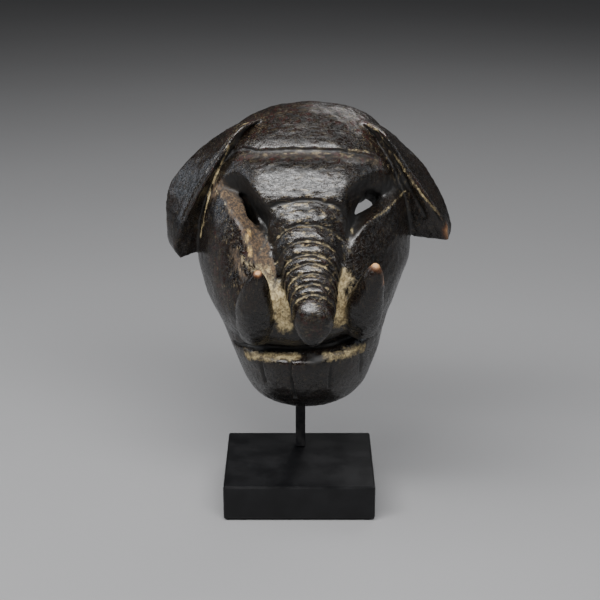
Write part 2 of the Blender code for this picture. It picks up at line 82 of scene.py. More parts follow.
# Points on the trunk's upper surface where one fold ends and the next begins.
FOLDS = (
    (6, -44.2, 260),
    (6.3, -55, 246.4),
    (6.8, -64, 236.8),
    (7.5, -71.3, 228.9),
    (8, -76.2, 223.6),
    (8.6, -82, 217.9),
    (9.5, -88, 212.4),
    (10, -94.5, 206.6),
)
FOLD_HALF_WIDTHS = (29, 26.5, 23.5, 21.5, 20, 18.5, 17, 15.8)
TRUNK_AHEAD, TRUNK_INWARD = (0, -0.6825, -0.7309), (0, 0.7309, -0.6825)
FOLD_ARCH = 0.42  # how far the folds' sides trail behind their crests
FOLD_CUT, FOLD_CUT_HALF = 1.5, 1.9  # depth and half width of the cut between two folds
FOLD_SWELL = 0.9  # how far a fold's middle swells
FINE_CUT = 0.28  # depth of the fainter line along each fold
LIP_RISE, STEP_CUT = 0.9, 0.8  # the dome's lower edge, and the hollow below it
MOUTH_CUT, MOUTH_HALF = 1.8, 2.6  # depth and half width of the mouth's line
EAR_CUT, EAR_CUT_HALF = 1.4, 2.4

# ---- Clay, wear, bare wood, painted shade and a painted highlight: the line each lies along, its reach and its strength ---
CLAY_AND_RIM_HIGHLIGHT = (
    (((-14, -69, 205), (-15, -65, 193), (-12, -69, 182), (-10, -69, 176)), 15, 1.1),
    (((-19, -54, 236), (-17, -62, 224), (-16, -66, 210)), 10, 0.85),
    (((-24, -54, 208), (-22, -60, 196)), 12, 0.9),
    (((-40, -44, 218), (-36, -50, 210), (-30, -54, 214)), 6, 0.6),
    (((33, -60, 208), (30, -66, 198), (29, -66, 184), (29, -66, 177)), 15, 1.1),
    (((-40, -38, 137), (-31, -48, 140), (-22, -53, 142), (-13, -55, 143), (-2, -56, 144)), 7, 1.05),
    (((21, -58, 145), (31, -56, 145), (40, -50, 145), (50, -40, 144)), 8, 1.05),
    (((-39, 10, 308), (-47, 5, 301), (-54, -1, 291)), 3.2, 0.95),
    (((-54, -1, 291), (-61, 3, 275), (-67, 3, 258), (-70, 0, 247)), 3.2, 0.95),
    (((-70, 0, 247), (-73, -1, 231), (-76, 5, 219)), 3.0, 0.95),
    (((52, 8, 307), (59, 3, 304), (70, 1, 287), (79, 0, 275)), 2.8, 0.85),
    (((79, 0, 275), (88, -1, 262), (99, -1, 248), (108, 1, 238)), 2.8, 0.85),
    (((84, 7, 252), (86, 8, 240)), 3, 0.45),
    # Painted highlight: a thin pale line along the right lid's rim, drawn with the clay.
    (((82, 256), (78.5, 253.5), (73.5, 252), (67.5, 249), (59, 246), (50.5, 243)), 1.8, 0.65),
    (((-65, 260), (-59, 256.5), (-52, 249.5)), 1.8, 0.6),
    (((38, -50, 236), (36, -56, 222), (34, -60, 212)), 7, 0.6),
    (((44, -52, 196), (50, -56, 203), (52, -58, 208)), 7, 0.55),
    (((-44, -8, 291), (-28, -14, 293), (8, -19, 296), (30, -17, 294), (52, -8, 290)), 2.6, 0.8),
    (((-46, -44, 206), (-49, -46, 190), (-45, -54, 172)), 2.6, 0.5),
)
OCHRE = ((((-37, -37, 240), (-38, -41, 232), (-36, -47, 222)), 4.5, 1.0),)
# Dry, tan wood that has lost its patina.
DRY = (
    (((-60, 0, 259), (-47, -21, 252), (-37, -31, 240), (-28, -43, 227), (-20, -55, 213)), 15, 1.0),
    (((-36, -40, 238), (-30, -46, 226), (-26, -52, 214)), 13, 1.0),
    (((-48, -36, 224), (-44, -44, 210), (-38, -52, 198)), 10, 0.7),
    (((78, 6, 254), (67, -6, 249), (52, -18, 243), (42, -34, 236)), 6, 0.35),
)
# Creases along the ears, beside their ridges.
EAR_CREASES = (
    ((66, 2, 299), (76, -1, 284), (87, -2, 266), (98, -1, 249), (108, 2, 232)),
    ((59, 4, 301), (69, 2, 286), (79, 2, 269), (89, 3, 252), (98, 5, 236)),
    ((80, 1, 292), (92, 1, 272), (104, 2, 253), (112, 5, 238)),
    ((-50, 3, 300), (-64, 0, 282), (-76, -1, 261), (-87, 0, 239), (-93, 3, 220)),
    ((-60, 2, 292), (-76, 3, 272), (-90, 5, 250), (-98, 8, 230)),
)
# Middle of each ear's rounded lower corner, seen from the front, its radius and its side.
EAR_TIPS = (((-94, 207.5), 7.5, -1), ((111.5, 222), 8.2, 1))
# Where fine clay is left in the pores.
DUST = (
    (((6, -48, 262), (7, -73, 228), (9, -88, 214)), 32, 1.0),
    (((-60, -8, 255), (-52, -28, 238), (-46, -42, 216), (-42, -50, 196)), 17, 0.7),
    (((-46, 7, 304), (-61, 3, 275), (-73, -1, 231)), 9, 0.9),
    (((52, 0, 302), (66, 2, 288), (80, 4, 261)), 14, 0.9),
    (((-50, -8, 290), (-20, -18, 293), (20, -20, 294), (56, -6, 284)), 7, 0.9),
    (((-44, -36, 140), (0, -58, 140), (50, -42, 142)), 10, 0.8),
    (((-28, -56, 160), (-20, -60, 190)), 14, 0.9),
    (((44, -56, 164), (38, -60, 192)), 14, 0.9),
)
WEAR = (
    (((-42, -33, 243), (-37, -38, 236), (-35, -45, 229), (-36, -48, 220)), 9, 0.8),
    (((-38, 12, 308), (-18, 16, 315), (5, 18, 318), (30, 16, 314), (48, 12, 306)), 32, 0.5),
    (((-44, -8, 287), (-12, -20, 290), (10, -21, 291), (40, -17, 288), (58, -6, 281)), 11, 0.7),
    (((10, -105, 196), (10, -107, 185)), 18, 0.5),
    (((-60, -20, 225), (-60, -25, 200), (-50, -40, 185)), 20, 0.35),
)
BARE = (
    (((-29, -92, 225), (-29.5, -91, 221.5)), 6, 1.15),
    (((55, -89, 229), (54, -87.5, 225), (58, -83, 213)), 8, 1.2),
    (((117, 8, 214), (115, 6, 222), (114, 7, 226)), 9, 0.75),
    (((-92, 8, 199), (-98, 8, 200)), 7, 0.5),
    (((66, -6, 285), (72, 0, 278)), 5, 0.6),
)
# Painted shade: black laid into the eye sockets under the brow, along the upper lip under the trunk and
# tusks, and into the lower lip's worn gap.
SHADE_STROKES = (
    (((-51, -9, 265), (-40, -14, 258), (-31, -18, 248), (-22, -34, 236)), 10, 1.2),
    (((80, 8, 262), (66, -4, 262), (54, -10, 256), (45, -16, 250), (38, -40, 240)), 12, 1.2),
    (((-48, -36, 153), (-25, -55, 154), (5, -62, 154), (35, -60, 158), (58, -34, 163)), 9, 1.0),
    (((11, -60, 146), (11, -57, 138)), 8, 1.2),
)
# The walls of the eye slits, from front to back, where black is painted as shade.
SLITS = (
    (((-33, -24, 250), (-38, -10, 246), (-50, 10, 245)), 26, 2.0),
    (((47, -24, 253), (48, -8, 248), (48, 12, 240)), 26, 2.0),
)
# Height and front reach of the hollow on its middle line.
HOLLOW = (
    (91, 9),
    (101, -20),
    (114, -34),
    (132, -38),
    (150, -40),
    (170, -48),
    (195, -46),
    (215, -29),
    (232, -12),
    (250, -5),
    (308, 12),
)
WORMHOLES = ((-12, -68, 184), (28, -74, 191), (-30, -89, 198), (17, -99, 204), (24, -46, 113))


# ---- Meshes as arrays -----------------------------------------------------------------------
def welded_copy(node):
    """A CAD node's mesh with its split corners joined."""
    form = bmesh.new()
    form.from_mesh(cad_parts[node].data)
    bmesh.ops.remove_doubles(form, verts=form.verts, dist=1e-6)
    mesh = bpy.data.meshes.new(f"{node}_welded")
    form.to_mesh(mesh)
    form.free()
    return mesh


def modified(mesh, kind, **settings):
    """The mesh after one modifier."""
    temporary = bpy.data.objects.new("clay_block", mesh)
    bpy.context.scene.collection.objects.link(temporary)
    modifier = temporary.modifiers.new(kind, kind)
    for key, value in settings.items():
        setattr(modifier, key, value)
    graph = bpy.context.evaluated_depsgraph_get()
    made = bpy.data.meshes.new_from_object(temporary.evaluated_get(graph))
    bpy.data.objects.remove(temporary)
    return made


def points_of(mesh):
    flat = np.empty(len(mesh.vertices) * 3, np.float32)
    mesh.vertices.foreach_get("co", flat)
    return flat.reshape(-1, 3).astype(float) / MM


def edges_of(mesh):
    flat = np.empty(len(mesh.edges) * 2, np.int32)
    mesh.edges.foreach_get("vertices", flat)
    return flat.reshape(-1, 2)


def triangles_of(mesh):
    mesh.calc_loop_triangles()
    flat = np.empty(len(mesh.loop_triangles) * 3, np.int32)
    mesh.loop_triangles.foreach_get("vertices", flat)
    return flat.reshape(-1, 3)


def normals_of(points, triangles):
    a, b, c = (points[triangles[:, k]] for k in range(3))
    face = np.cross(b - a, c - a)
    total = np.zeros_like(points)
    for k in range(3):
        for axis in range(3):
            total[:, axis] += np.bincount(triangles[:, k], face[:, axis], len(points))
    return total / np.maximum(np.linalg.norm(total, axis=1, keepdims=True), 1e-9)


def neighbour_mean(values, edges):
    """Mean of each point's neighbours along the mesh's edges."""
    count = len(values)
    degree = np.maximum(np.bincount(edges.ravel(), minlength=count), 1)
    out = np.empty_like(values)
    for axis in range(values.shape[1]):
        column = values[:, axis]
        total = np.bincount(edges[:, 0], column[edges[:, 1]], count)
        total += np.bincount(edges[:, 1], column[edges[:, 0]], count)
        out[:, axis] = total / degree
    return out


def blurred(values, edges, rounds, weight=1.0):
    """Values spread over the surface. Weight is 0 where they stay as they are."""
    pull = 0.5 * np.broadcast_to(weight, len(values))[:, None]
    for _ in range(rounds):
        values = values + pull * (neighbour_mean(values, edges) - values)
    return values


def softened(points, edges, rounds, weight):
    """Points with their facets blurred away, then given back most of what the blur shrank."""
    smooth = blurred(points, edges, rounds, weight)
    return smooth + blurred(points - smooth, edges, rounds, weight)


# ---- Fields over the points -----------------------------------------------------------------
def smooth_step(low, high, at):
    t = np.clip((at - low) / (high - low), 0, 1)
    return t * t * (3 - 2 * t)


def distance_to(points, line):
    """Distance from each point to a line of (x, y, z) points, or of (x, z) seen from the front."""
    flat = points if len(line[0]) == 3 else points[:, [0, 2]]
    nearest = np.full(len(points), 1e9)
    for a, b in zip(line, line[1:]):
        a, b = np.array(a, float), np.array(b, float)
        t = np.clip((flat - a) @ (b - a) / ((b - a) @ (b - a)), 0, 1)
        nearest = np.minimum(nearest, np.linalg.norm(flat - (a + t[:, None] * (b - a)), axis=1))
    return nearest


def strokes(points, table, ragged=0.0):
    """Strength of what lies along a table's lines. Ragged edges wander by a share of the reach."""
    strength = np.zeros(len(points))
    wander = ragged * lumps(points, (4, 4, 7), 19) if ragged else 0
    for line, reach, amount in table:
        here = amount * smooth_step(reach, 0, distance_to(points, line) + reach * wander)
        strength = np.maximum(strength, here)
    return strength


def cut(gap, half_width):
    """Cross-section of a V-shaped cut: 1 at its bottom and 0 at its edges."""
    return np.clip(1 - gap / half_width, 0, 1) ** 1.3


def lumps(points, size, seed):
    """Smooth noise from -1 to 1 with lumps of the given size, one number or one for each axis."""
    shift = np.array((seed * 17.3, seed * 5.1, seed * 9.7))
    return np.array([noise.noise(p) for p in points / np.array(size) + shift])


def scoops(points, size, seed):
    """Overlapping hollows left by a gouge: 0 at the middle of each and 1 on the ridges between."""
    shift = np.array((seed * 3.7, seed * 11.9, seed * 7.3))
    out = np.empty(len(points))
    for i, point in enumerate(points / np.array(size) + shift):
        near = noise.voronoi(point)[0]
        out[i] = near[0] / max(near[1], 1e-6)
    return out**2


def distance_to_sharp_edges(mesh, points):
    corners = points_of(mesh)
    sides = {}
    for polygon in mesh.polygons:
        for key in polygon.edge_keys:
            sides.setdefault(key, []).append(polygon.normal)
    samples = []
    for (a, b), normals in sides.items():
        if len(normals) == 2 and normals[0].angle(normals[1], 0) > SHARP_ANGLE:
            steps = int(np.linalg.norm(corners[b] - corners[a])) + 2
            samples += [corners[a] + (corners[b] - corners[a]) * t for t in np.linspace(0, 1, steps)]
    tree = kdtree.KDTree(len(samples))
    for i, sample in enumerate(samples):
        tree.insert(sample, i)
    tree.balance()
    return np.array([tree.find(point)[2] for point in points])


def sheltered(mesh, points, normals):
    """1 for a point in the hollow, which nothing in front, beside or above can see."""
    tree = bvhtree.BVHTree.FromPolygons(points_of(mesh).tolist(), triangles_of(mesh).tolist())
    ways = [(0, -1, 0), (0, -1, -1), (0, -1, 1), (-1, -1, 0), (1, -1, 0), (-1, 0, 0.3), (1, 0, 0.3)]
    ways += [(0, 0, 1), (0, 0, -1), (-1, 0, -1), (1, 0, -1)]
    ways = [Vector(way).normalized() for way in ways]
    heights, fronts = zip(*HOLLOW)
    behind = points[:, 1] > np.interp(points[:, 2], heights, fronts) - 2
    out = np.zeros(len(points))
    for i in np.flatnonzero(behind):
        point, normal = Vector(points[i] + 2.5 * normals[i]), Vector(normals[i])
        facing = (way for way in ways if way.dot(normal) > 0.05)
        out[i] = all(tree.ray_cast(point, way)[0] is not None for way in facing)
    return out


# ---- Cuts in the mask -----------------------------------------------------------------------
def fold_position(points):
    """How far along the trunk a point lies, following the arch of the folds."""
    ahead, inward = np.array(TRUNK_AHEAD), np.array(TRUNK_INWARD)
    return points @ ahead - FOLD_ARCH * (points @ inward)


def trunk_folds(points):
    """Depth of the cuts between the trunk's folds, where clay fills them, and the trunk itself."""
    crests = np.array(FOLDS, float)
    at, places = fold_position(points), fold_position(crests)
    middle = np.interp(at, places, crests[:, 0])
    half = np.interp(at, places, FOLD_HALF_WIDTHS)
    inward = np.array(TRUNK_INWARD)
    sunk = points @ inward - np.interp(at, places, crests @ inward)
    aside = np.abs(points[:, 0] - middle)
    zone = smooth_step(half + 3, half - 1, aside) * smooth_step(30, 20, sunk)
    zone = zone * smooth_step(-9, -4, sunk)
    wobble = 0.7 * lumps(points, 7, 3)
    patchy = np.clip(0.7 + 1.3 * lumps(points, 7, 8), 0, 1.2)
    depth, clay = np.zeros(len(points)), np.zeros(len(points))
    for k, place in enumerate(places):
        gap = at - place + wobble
        strength = 1.0 if k else smooth_step(1.1, 0.7, aside / half)
        depth -= FOLD_CUT * strength * cut(np.abs(gap), FOLD_CUT_HALF)
        clay = np.maximum(clay, strength * patchy * cut(np.abs(gap - 1.1), 0.9 + 0.7 * patchy))
    for low, high in zip(places, places[1:]):
        share = np.clip((at + wobble - low) / (high - low), 0, 1)
        depth += FOLD_SWELL * (patchy - 0.3) * np.sin(math.pi * share) * (share > 0) * (share < 1)
        gap = np.abs(at - low - 0.36 * (high - low) + 1.6 * wobble)
        depth -= FINE_CUT * cut(gap, 1.1) * patchy
        clay = np.maximum(clay, 0.4 * cut(gap, 1.0) * patchy)
    return zone * depth, zone * clay, zone


def brow_step(points):
    """The dome's lower edge stands a little proud of the brow roll, with a thin cut between. Also
    returns where shade is painted along the cut.
    """
    line = np.array(BROW_STEP, float)
    above = points[:, 2] - np.interp(points[:, 0], line[:, 0], line[:, 1])
    above = above + 0.5 * lumps(points, 9, 5)
    zone = smooth_step(-62, -50, points[:, 0]) * smooth_step(66, 54, points[:, 0])
    lip = LIP_RISE * smooth_step(-0.2, 0.7, above) * smooth_step(17, 1.5, above)
    sunk = -STEP_CUT * smooth_step(-7, -0.9, above) * smooth_step(0.5, -0.2, above)
    return zone * (lip + sunk), zone * cut(np.abs(above - 1.0), 1.6)


def wrinkled_brow(points):
    """1 on the brow roll and the boss, whose fine wrinkles run across."""
    zone = smooth_step(52, 40, np.abs(points[:, 0] - 8)) * smooth_step(300, 293, points[:, 2])
    return zone * smooth_step(248, 254, points[:, 2]) * smooth_step(-8, -16, points[:, 1])


def face_cuts(points):
    """Depth of the mouth, the creases of the ears and the lines between the teeth."""
    depth = -MOUTH_CUT * cut(distance_to(points, MOUTH), MOUTH_HALF)
    for line in EAR_CREASES:
        gap = distance_to(points, line) + 0.6 * lumps(points, 9, 17)
        depth -= EAR_CUT * cut(gap, EAR_CUT_HALF)
    for line, deep in TOOTH_LINES:
        wander = 0.5 * lumps(points, 8, 12)
        depth -= deep * cut(np.abs(distance_to(points, line) + wander), 1.7)
    return depth


def lip_notch(points):
    """How far each point moves where the lower lip is worn away in its middle."""
    gap = np.linalg.norm((points - np.array(LIP_GAP)) / np.array(LIP_GAP_REACH), axis=1)
    return smooth_step(1, 0, gap)[:, None] * np.array((0, LIP_GAP_DEPTH, 0))


def worn_tips(points):
    """How far each point moves where the ears' lower corners are worn round."""
    move = np.zeros_like(points)
    for middle, radius, side in EAR_TIPS:
        away = points[:, [0, 2]] - np.array(middle)
        pull = np.minimum(radius / np.linalg.norm(away, axis=1), 1) - 1
        pull = pull * (away[:, 0] * side > 0) * (away[:, 1] < 0)
        move[:, [0, 2]] += pull[:, None] * away
    return move


def tool_marks(points, front, trunk, across):
    """Depth of the carver's marks: shallow facets outside, and long scoops in the hollow."""
    knob = smooth_step(206, 198, points[:, 2])
    outside = 0.28 * scoops(points, (8, 8, 12), 1) + 0.7 * lumps(points, 20, 2)
    outside += 0.2 * lumps(points, (3.2, 3.2, 5), 4) * (1 - across)
    outside += 0.32 * lumps(points, (6.5, 4, 3), 14) * across * (1 - knob)
    outside += 0.5 * lumps(points, 6.5, 16) * trunk * knob
    hollow = 1.1 * scoops(points, (9, 9, 22), 6) + 0.25 * lumps(points, 5, 7) - 0.6
    return front * outside + (1 - front) * hollow


def clay_and_rim_highlight_strength(points, bend, fold_clay, trunk, front):
    """Clay lies along its lines, in the creases of the lower face and between the folds; one of its
    lines is a painted highlight along the right lid's rim.
    """
    low = smooth_step(262, 235, points[:, 2]) * smooth_step(-20, -40, points[:, 1])
    low = low * smooth_step(160, 168, points[:, 2])
    breakup = 0.5 + 0.5 * lumps(points, 6, 9)
    drawn = strokes(points, CLAY_AND_RIM_HIGHLIGHT, 0.3) * (0.55 + 0.45 * smooth_step(-0.3, 0.2, bend)) * (1 - trunk)
    in_creases = 0.75 * crease_strength(bend, front) * low * breakup
    in_folds = 0.56 * fold_clay * (0.2 + 1.2 * breakup)
    return np.maximum.reduce([drawn, in_creases, in_folds])


def crease_strength(bend, front):
    return smooth_step(0.06, 0.4, bend) * front


def under_brow_shade(points, normals):
    """1 under the brow, where shade is painted as black."""
    under = smooth_step(0, -0.5, normals[:, 2]) * smooth_step(228, 240, points[:, 2])
    return under * smooth_step(72, 60, np.abs(points[:, 0] - 8))


def store_fields(mesh, fields):
    for name, values in fields.items():
        attribute = mesh.attributes.new(name, "FLOAT", "POINT")
        attribute.data.foreach_set("value", np.clip(values, 0, 1).astype(np.float32))


def sculpt_mask():
    """The mask's mesh, with its attributes."""
    solid = welded_copy("mask_carving")
    mesh = modified(solid, "REMESH", mode="VOXEL", voxel_size=VOXEL * MM)
    points, edges, triangles = points_of(mesh), edges_of(mesh), triangles_of(mesh)
    crisp = distance_to_sharp_edges(solid, points)
    points = softened(points, edges, FACET_ROUNDS, 0.4 + 0.6 * smooth_step(0.6, 4.5, crisp))
    normals = normals_of(points, triangles)
    inside = blurred(sheltered(solid, points, normals)[:, None], edges, 6)[:, 0]
    front = 1 - smooth_step(0.1, 0.6, inside)

    folds, fold_clay, trunk = trunk_folds(points)
    step, step_shade = brow_step(points)
    across = np.maximum(trunk, wrinkled_brow(points))
    facing = smooth_step(0.25, -0.1, normals[:, 1]) * front
    depth = folds * front + (step + face_cuts(points)) * facing
    depth += tool_marks(points, front, trunk, across)
    points = points + normals * depth[:, None] + front[:, None] * lip_notch(points)
    points = points + worn_tips(points)
    points = softened(points, edges, 1, 0.5)

    normals = normals_of(points, triangles)
    bend = np.sum((blurred(points, edges, BEND_ROUNDS) - points) * normals, axis=1)
    edge = smooth_step(0.2, 0.8, -bend)
    slits = np.minimum(strokes(points, SLITS), 1)
    ochre = strokes(points, OCHRE) * np.clip(0.75 + 0.9 * lumps(points, (3, 3, 6), 15), 0, 1)
    clay = np.maximum(clay_and_rim_highlight_strength(points, bend, fold_clay, trunk, front), ochre)
    # Painted shade: black in the creases, along the brow step's cut, in the eye sockets, along the upper
    # lip, in the lip gap and under the brow.
    shade_terms = [crease_strength(bend, front), 0.3 * step_shade * facing]
    shade_terms += [strokes(points, SHADE_STROKES), under_brow_shade(points, normals)]
    mesh.vertices.foreach_set("co", (points * MM).astype(np.float32).ravel())
    store_fields(mesh, {
        # The clay field also holds the pale line painted as a highlight on the right lid's rim.
        "clay": clay * front,
        "ochre": ochre,
        "dust": np.maximum(strokes(points, DUST), LEAST_DUST) * front,
        "dry": strokes(points, DRY, 0.35) * (1 - trunk) * front,
        "wear": np.maximum(strokes(points, WEAR), 0.5 * edge) * front,
        "bare": strokes(points, BARE) * front,
        # Painted shade, with the eye slits' walls painted black as well.
        "painted_shade": np.maximum(np.maximum.reduce(shade_terms) * front, slits * (1 - front)),
        "inside": (1 - front) * (1 - slits),
        "across": across,
    })
    mesh.update()
    mesh = modified(mesh, "DECIMATE", ratio=min(1.0, MOST_TRIANGLES / len(triangles)))
    mesh.shade_smooth()
    return mesh


# ---- Materials ------------------------------------------------------------------------------
BLACK = (0.0016, 0.0014, 0.0013)
MARKS = ("clay", "ochre", "dust", "wear", "bare", "painted_shade", "dry", "inside", "across")


class Paint:
    """Builds one material out of nodes, in millimetres of the row's frame."""

    def __init__(self, name):
        self.material = bpy.data.materials.new(name)
        self.material.use_nodes = True
        self.tree = self.material.node_tree
        self.shader = self.tree.nodes["Principled BSDF"]
        coordinates = self.tree.nodes.new("ShaderNodeTexCoord")
        self.place = self.vector("SCALE", coordinates.outputs["Object"], scale=1 / MM)

    def join(self, socket, value):
        if isinstance(value, bpy.types.NodeSocket):
            self.tree.links.new(value, socket)
        else:
            socket.default_value = value

    def vector(self, operation, a, b=None, scale=None):
        node = self.tree.nodes.new("ShaderNodeVectorMath")
        node.operation = operation
        self.join(node.inputs[0], a)
        if b is not None:
            self.join(node.inputs[1], b)
        if scale is not None:
            self.join(node.inputs["Scale"], scale)
        return node.outputs["Value" if operation in ("DISTANCE", "LENGTH") else "Vector"]

    def math(self, operation, a, b=0.0):
        node = self.tree.nodes.new("ShaderNodeMath")
        node.operation = operation
        self.join(node.inputs[0], a)
        self.join(node.inputs[1], b)
        return node.outputs["Value"]

    def weighted(self, *terms):
        """Sum of the terms, each a (value, weight)."""
        total = None
        for value, weight in terms:
            scaled = self.math("MULTIPLY", value, weight)
            total = scaled if total is None else self.math("ADD", total, scaled)
        return total

    def attribute(self, name):
        node = self.tree.nodes.new("ShaderNodeAttribute")
        node.attribute_name = name
        return node.outputs["Fac"]

    def noise(self, size, detail=3.0, roughness=0.55, distortion=0.0):
        """Noise from 0 to 1. Size is one number, or one for each axis, in millimetres."""
        sizes = size if isinstance(size, tuple) else (size, size, size)
        node = self.tree.nodes.new("ShaderNodeTexNoise")
        node.inputs["Scale"].default_value = 1.0
        node.inputs["Detail"].default_value = detail
        node.inputs["Roughness"].default_value = roughness
        node.inputs["Distortion"].default_value = distortion
        scaled = self.vector("MULTIPLY", self.place, tuple(1 / s for s in sizes))
        self.join(node.inputs["Vector"], scaled)
        return node.outputs["Fac"]

    def step(self, value, low, high, bottom=0.0, top=1.0):
        """Bottom below low and top above high, with a smooth ramp between."""
        node = self.tree.nodes.new("ShaderNodeMapRange")
        node.interpolation_type = "SMOOTHSTEP"
        self.join(node.inputs["Value"], value)
        for name, number in (("From Min", low), ("From Max", high), ("To Min", bottom), ("To Max", top)):
            node.inputs[name].default_value = number
        return node.outputs["Result"]

    def mix(self, share, a, b):
        """Colour a where share is 0, and b where it is 1."""
        node = self.tree.nodes.new("ShaderNodeMix")
        node.data_type = "RGBA"
        self.join(node.inputs["Factor"], share)
        for socket, value in ((node.inputs[6], a), (node.inputs[7], b)):
            self.join(socket, (*value, 1) if isinstance(value, tuple) else value)
        return node.outputs[2]

    def blend(self, share, a, b):
        """Number a where share is 0, and b where it is 1."""
        node = self.tree.nodes.new("ShaderNodeMix")
        self.join(node.inputs["Factor"], share)
        self.join(node.inputs[2], a)
        self.join(node.inputs[3], b)
        return node.outputs[0]

    def bump(self, *layers):
        """Adds layers of (height from 0 to 1, depth in millimetres) to the surface."""
        normal = None
        for height, depth in layers:
            node = self.tree.nodes.new("ShaderNodeBump")
            node.inputs["Distance"].default_value = depth * MM
            self.join(node.inputs["Height"], height)
            if normal:
                self.join(node.inputs["Normal"], normal)
            normal = node.outputs["Normal"]
        self.join(self.shader.inputs["Normal"], normal)

    def finish(self, colour, roughness, metallic=0.0, specular=0.5):
        if isinstance(colour, tuple):
            colour = (*colour, 1)
        self.join(self.shader.inputs["Base Color"], colour)
        self.join(self.shader.inputs["Roughness"], roughness)
        self.join(self.shader.inputs["Metallic"], metallic)
        self.shader.inputs["Specular IOR Level"].default_value = specular
        self.shader.inputs["IOR"].default_value = 1.5
        return self.material


def wood_patterns(paint, across):
    """The noises that the wood's colour, gloss and bumps share, by name."""
    crazing = paint.noise((4.6, 3.2, 2.6), 3, 0.6, 0.7)
    level = paint.noise((8, 3.2, 1.7), 4, 0.62, 0.4)
    upright = paint.noise((1.5, 1.5, 10), 4, 0.62, 0.3)
    wrinkles = paint.blend(across, paint.blend(0.45, upright, 0.5), level)
    from_middle = paint.math("ABSOLUTE", paint.math("SUBTRACT", crazing, 0.5))
    cracks = paint.step(from_middle, 0.0, 0.035)
    return {
        "broad": paint.noise(17, 4, 0.6),
        "patches": paint.noise(4.5, 5, 0.65, 0.5),
        "specks": paint.noise(1.3, 4, 0.7),
        "grain": paint.noise((1.0, 1.0, 11), 4, 0.65, 0.3),
        "upright": upright,
        "wrinkles": wrinkles,
        "cracks": cracks,
        "pores": paint.math("MULTIPLY", paint.step(wrinkles, 0.34, 0.46), cracks),
    }


def handled_colour(paint, marks, patterns):
    """Black patina that rubs through to brown. Also returns how much is rubbed."""
    broad, patches, specks, grain = (patterns[k] for k in ("broad", "patches", "specks", "grain"))
    patina = paint.mix(paint.step(broad, 0.35, 0.65), BLACK, (0.0052, 0.0038, 0.003))
    streaks = paint.step(grain, 0.5, 0.7, 0, 0.9)
    patina = paint.mix(streaks, patina, (0.018, 0.0115, 0.0072))
    rub = paint.weighted((marks["wear"], 0.38), (patches, 0.75), (broad, 0.25))
    rubbed = paint.step(rub, 0.64, 1.05)
    brown = paint.mix(paint.step(grain, 0.38, 0.62), (0.016, 0.011, 0.0075), (0.085, 0.06, 0.037))
    colour = paint.mix(rubbed, patina, brown)
    flecks = paint.math("MULTIPLY", paint.step(specks, 0.56, 0.66), paint.step(rub, 0.5, 0.8, 0.02, 1))
    flecks = paint.math("MULTIPLY", flecks, paint.step(marks["across"], 0, 1, 1, 0.15))
    colour = paint.mix(flecks, colour, (0.15, 0.11, 0.062))
    red = paint.math("MULTIPLY", paint.step(patches, 0.5, 0.36), paint.step(rub, 0.4, 0.62))
    return paint.mix(red, colour, (0.026, 0.0095, 0.0075)), rubbed


def dry_colour(paint, marks, patterns, colour):
    """Adds tan wood that has lost its patina. Also returns how dry it is."""
    upright = patterns["upright"]
    parched = paint.weighted((marks["dry"], 1.0), (patterns["patches"], 0.6), (upright, 0.3))
    dry = paint.step(parched, 0.72, 1.3)
    tan = paint.mix(paint.step(upright, 0.36, 0.62), (0.013, 0.0072, 0.004), (0.074, 0.044, 0.02))
    return paint.mix(dry, colour, tan), dry


def dusty_colour(paint, marks, patterns, colour):
    """Adds fine clay left on the ridges between the wrinkles, and darkens the pores."""
    residue = paint.math("MULTIPLY", marks["dust"], paint.step(patterns["patches"], 0.42, 0.6))
    ridges = paint.step(patterns["wrinkles"], 0.52, 0.59)
    colour = paint.mix(paint.math("MULTIPLY", residue, ridges), colour, (0.18, 0.142, 0.083))
    return paint.mix(patterns["pores"], BLACK, colour)


def bare_colour(paint, marks, patterns, colour):
    """Adds the pale wood of the worn tips. Also returns how bare they are."""
    grain, patches = patterns["grain"], patterns["patches"]
    tips = paint.weighted((marks["bare"], 1.0), (grain, 0.4), (patches, 0.3))
    peach = paint.mix(paint.step(tips, 0.9, 1.5), (0.075, 0.03, 0.012), (0.42, 0.235, 0.1))
    return paint.mix(paint.step(tips, 0.6, 1.15), colour, peach), tips


def clay_and_rim_highlight_colour(paint, marks, patterns, colour):
    """Adds kaolin and ochre; the kaolin also paints a highlight line along the right lid's rim. Also
    returns how much of the wood they cover.
    """
    specks = patterns["specks"]
    powder = paint.weighted((patterns["patches"], 0.55), (specks, 0.55))
    dusted = paint.math("ADD", paint.math("MULTIPLY", marks["clay"], 0.8), powder)
    share = paint.math("MULTIPLY", paint.step(dusted, 0.7, 1.2), paint.step(marks["clay"], 0.03, 0.25))
    kaolin = paint.mix(paint.step(powder, 0.43, 0.7), (0.085, 0.058, 0.024), (0.40, 0.325, 0.175))
    ochre = paint.mix(paint.step(specks, 0.38, 0.62), (0.13, 0.07, 0.02), (0.36, 0.21, 0.06))
    return paint.mix(share, colour, paint.mix(marks["ochre"], kaolin, ochre)), share


def hollow_colour(paint, marks, patterns, colour):
    """Adds the raw wood of the hollow, and the wormholes."""
    grain = paint.step(patterns["grain"], 0.36, 0.66)
    raw = paint.mix(grain, (0.05, 0.029, 0.017), (0.17, 0.098, 0.052))
    stain = paint.step(patterns["broad"], 0.35, 0.65, 0.0, 0.7)
    raw = paint.mix(stain, raw, (0.024, 0.0145, 0.010))
    colour = paint.mix(marks["inside"], colour, raw)
    for middle in WORMHOLES:
        gap = paint.vector("DISTANCE", paint.place, middle)
        colour = paint.mix(paint.step(gap, 0.5, 1.2, 1, 0), colour, BLACK)
    return colour


